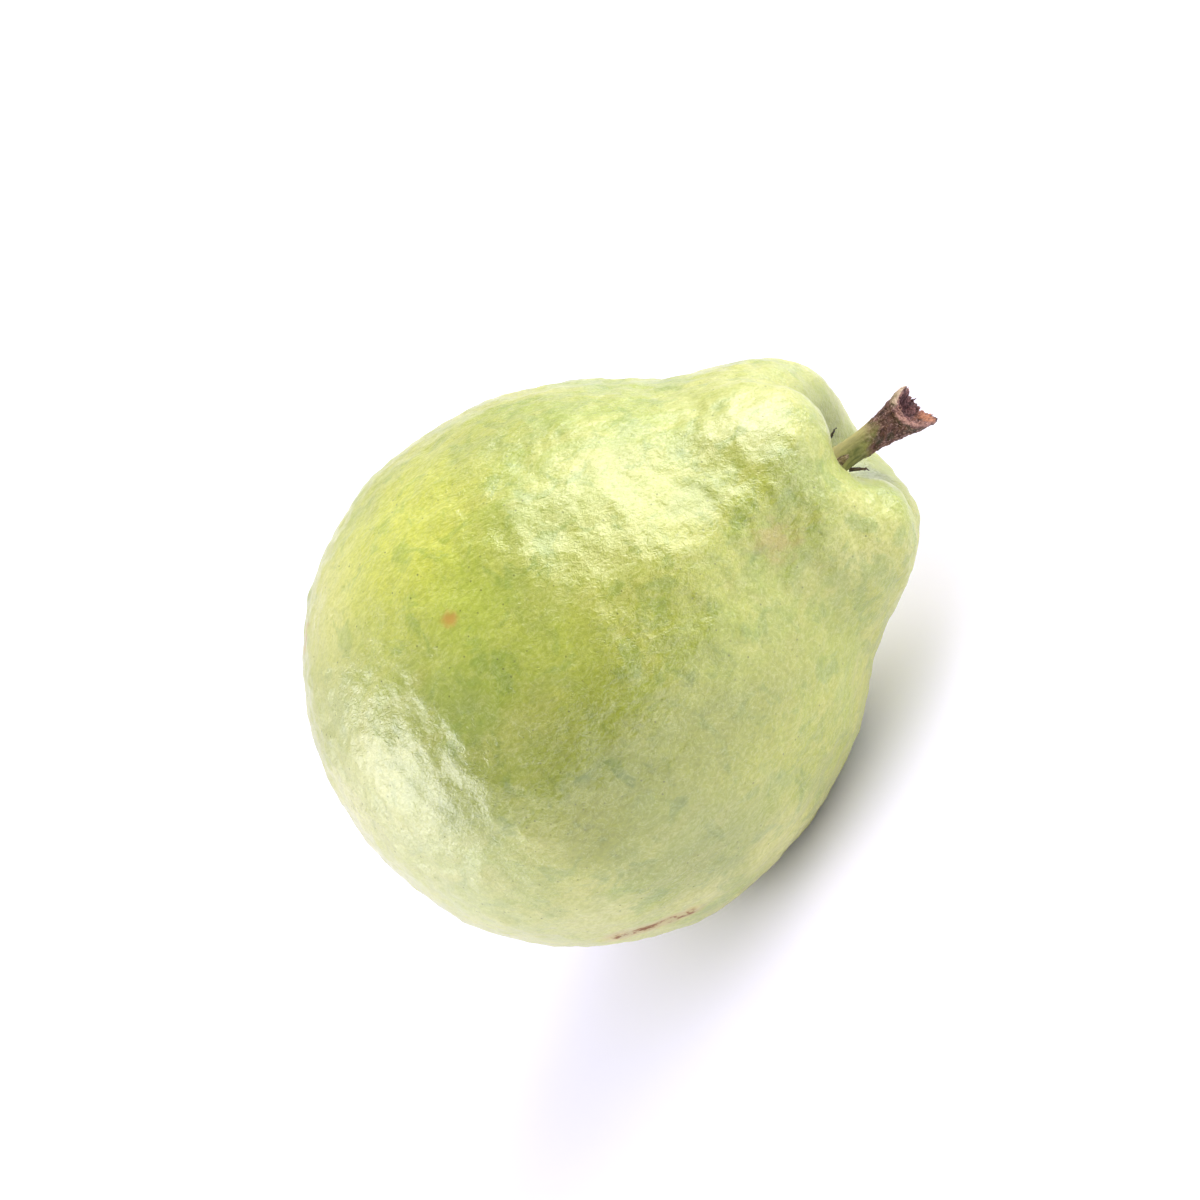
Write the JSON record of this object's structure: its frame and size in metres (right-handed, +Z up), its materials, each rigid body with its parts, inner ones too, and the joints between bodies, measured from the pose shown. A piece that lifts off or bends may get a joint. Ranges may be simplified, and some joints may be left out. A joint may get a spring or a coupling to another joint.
{
  "type": "guava",
  "caption": "Whole pear-shaped pale green guava with a short woody stem and a dry calyx crown, lying on its side.",
  "frame": {"origin": "middle of the small flat spot that the fruit lies on", "axes": "+X towards the stem end, +Z up; the fruit's own axis lies in the XZ plane and drops 11 degrees towards the stem"},
  "size_m": [0.1053, 0.084, 0.0834],
  "materials": {
    "skin": "thin waxy fruit skin, semi-gloss, finely wrinkled",
    "stem_bark": "young bark, olive at the foot and brown and fibrous at the torn end",
    "dry_bract": "dry papery scale, matt",
    "sepal": "dry leathery calyx lobe, matt",
    "calyx_disc": "dry fibrous disc with short stamen stubs, matt"
  },
  "bodies": {
    "root": {"fruit": "skin", "stem": "stem_bark", "bract_front": "dry_bract", "bract_lower": "dry_bract", "bract_upper": "dry_bract", "sepal_1": "sepal", "sepal_2": "sepal", "sepal_3": "sepal", "sepal_4": "sepal", "sepal_5": "sepal", "calyx_disc": "calyx_disc"}
  },
  "joints": []
}
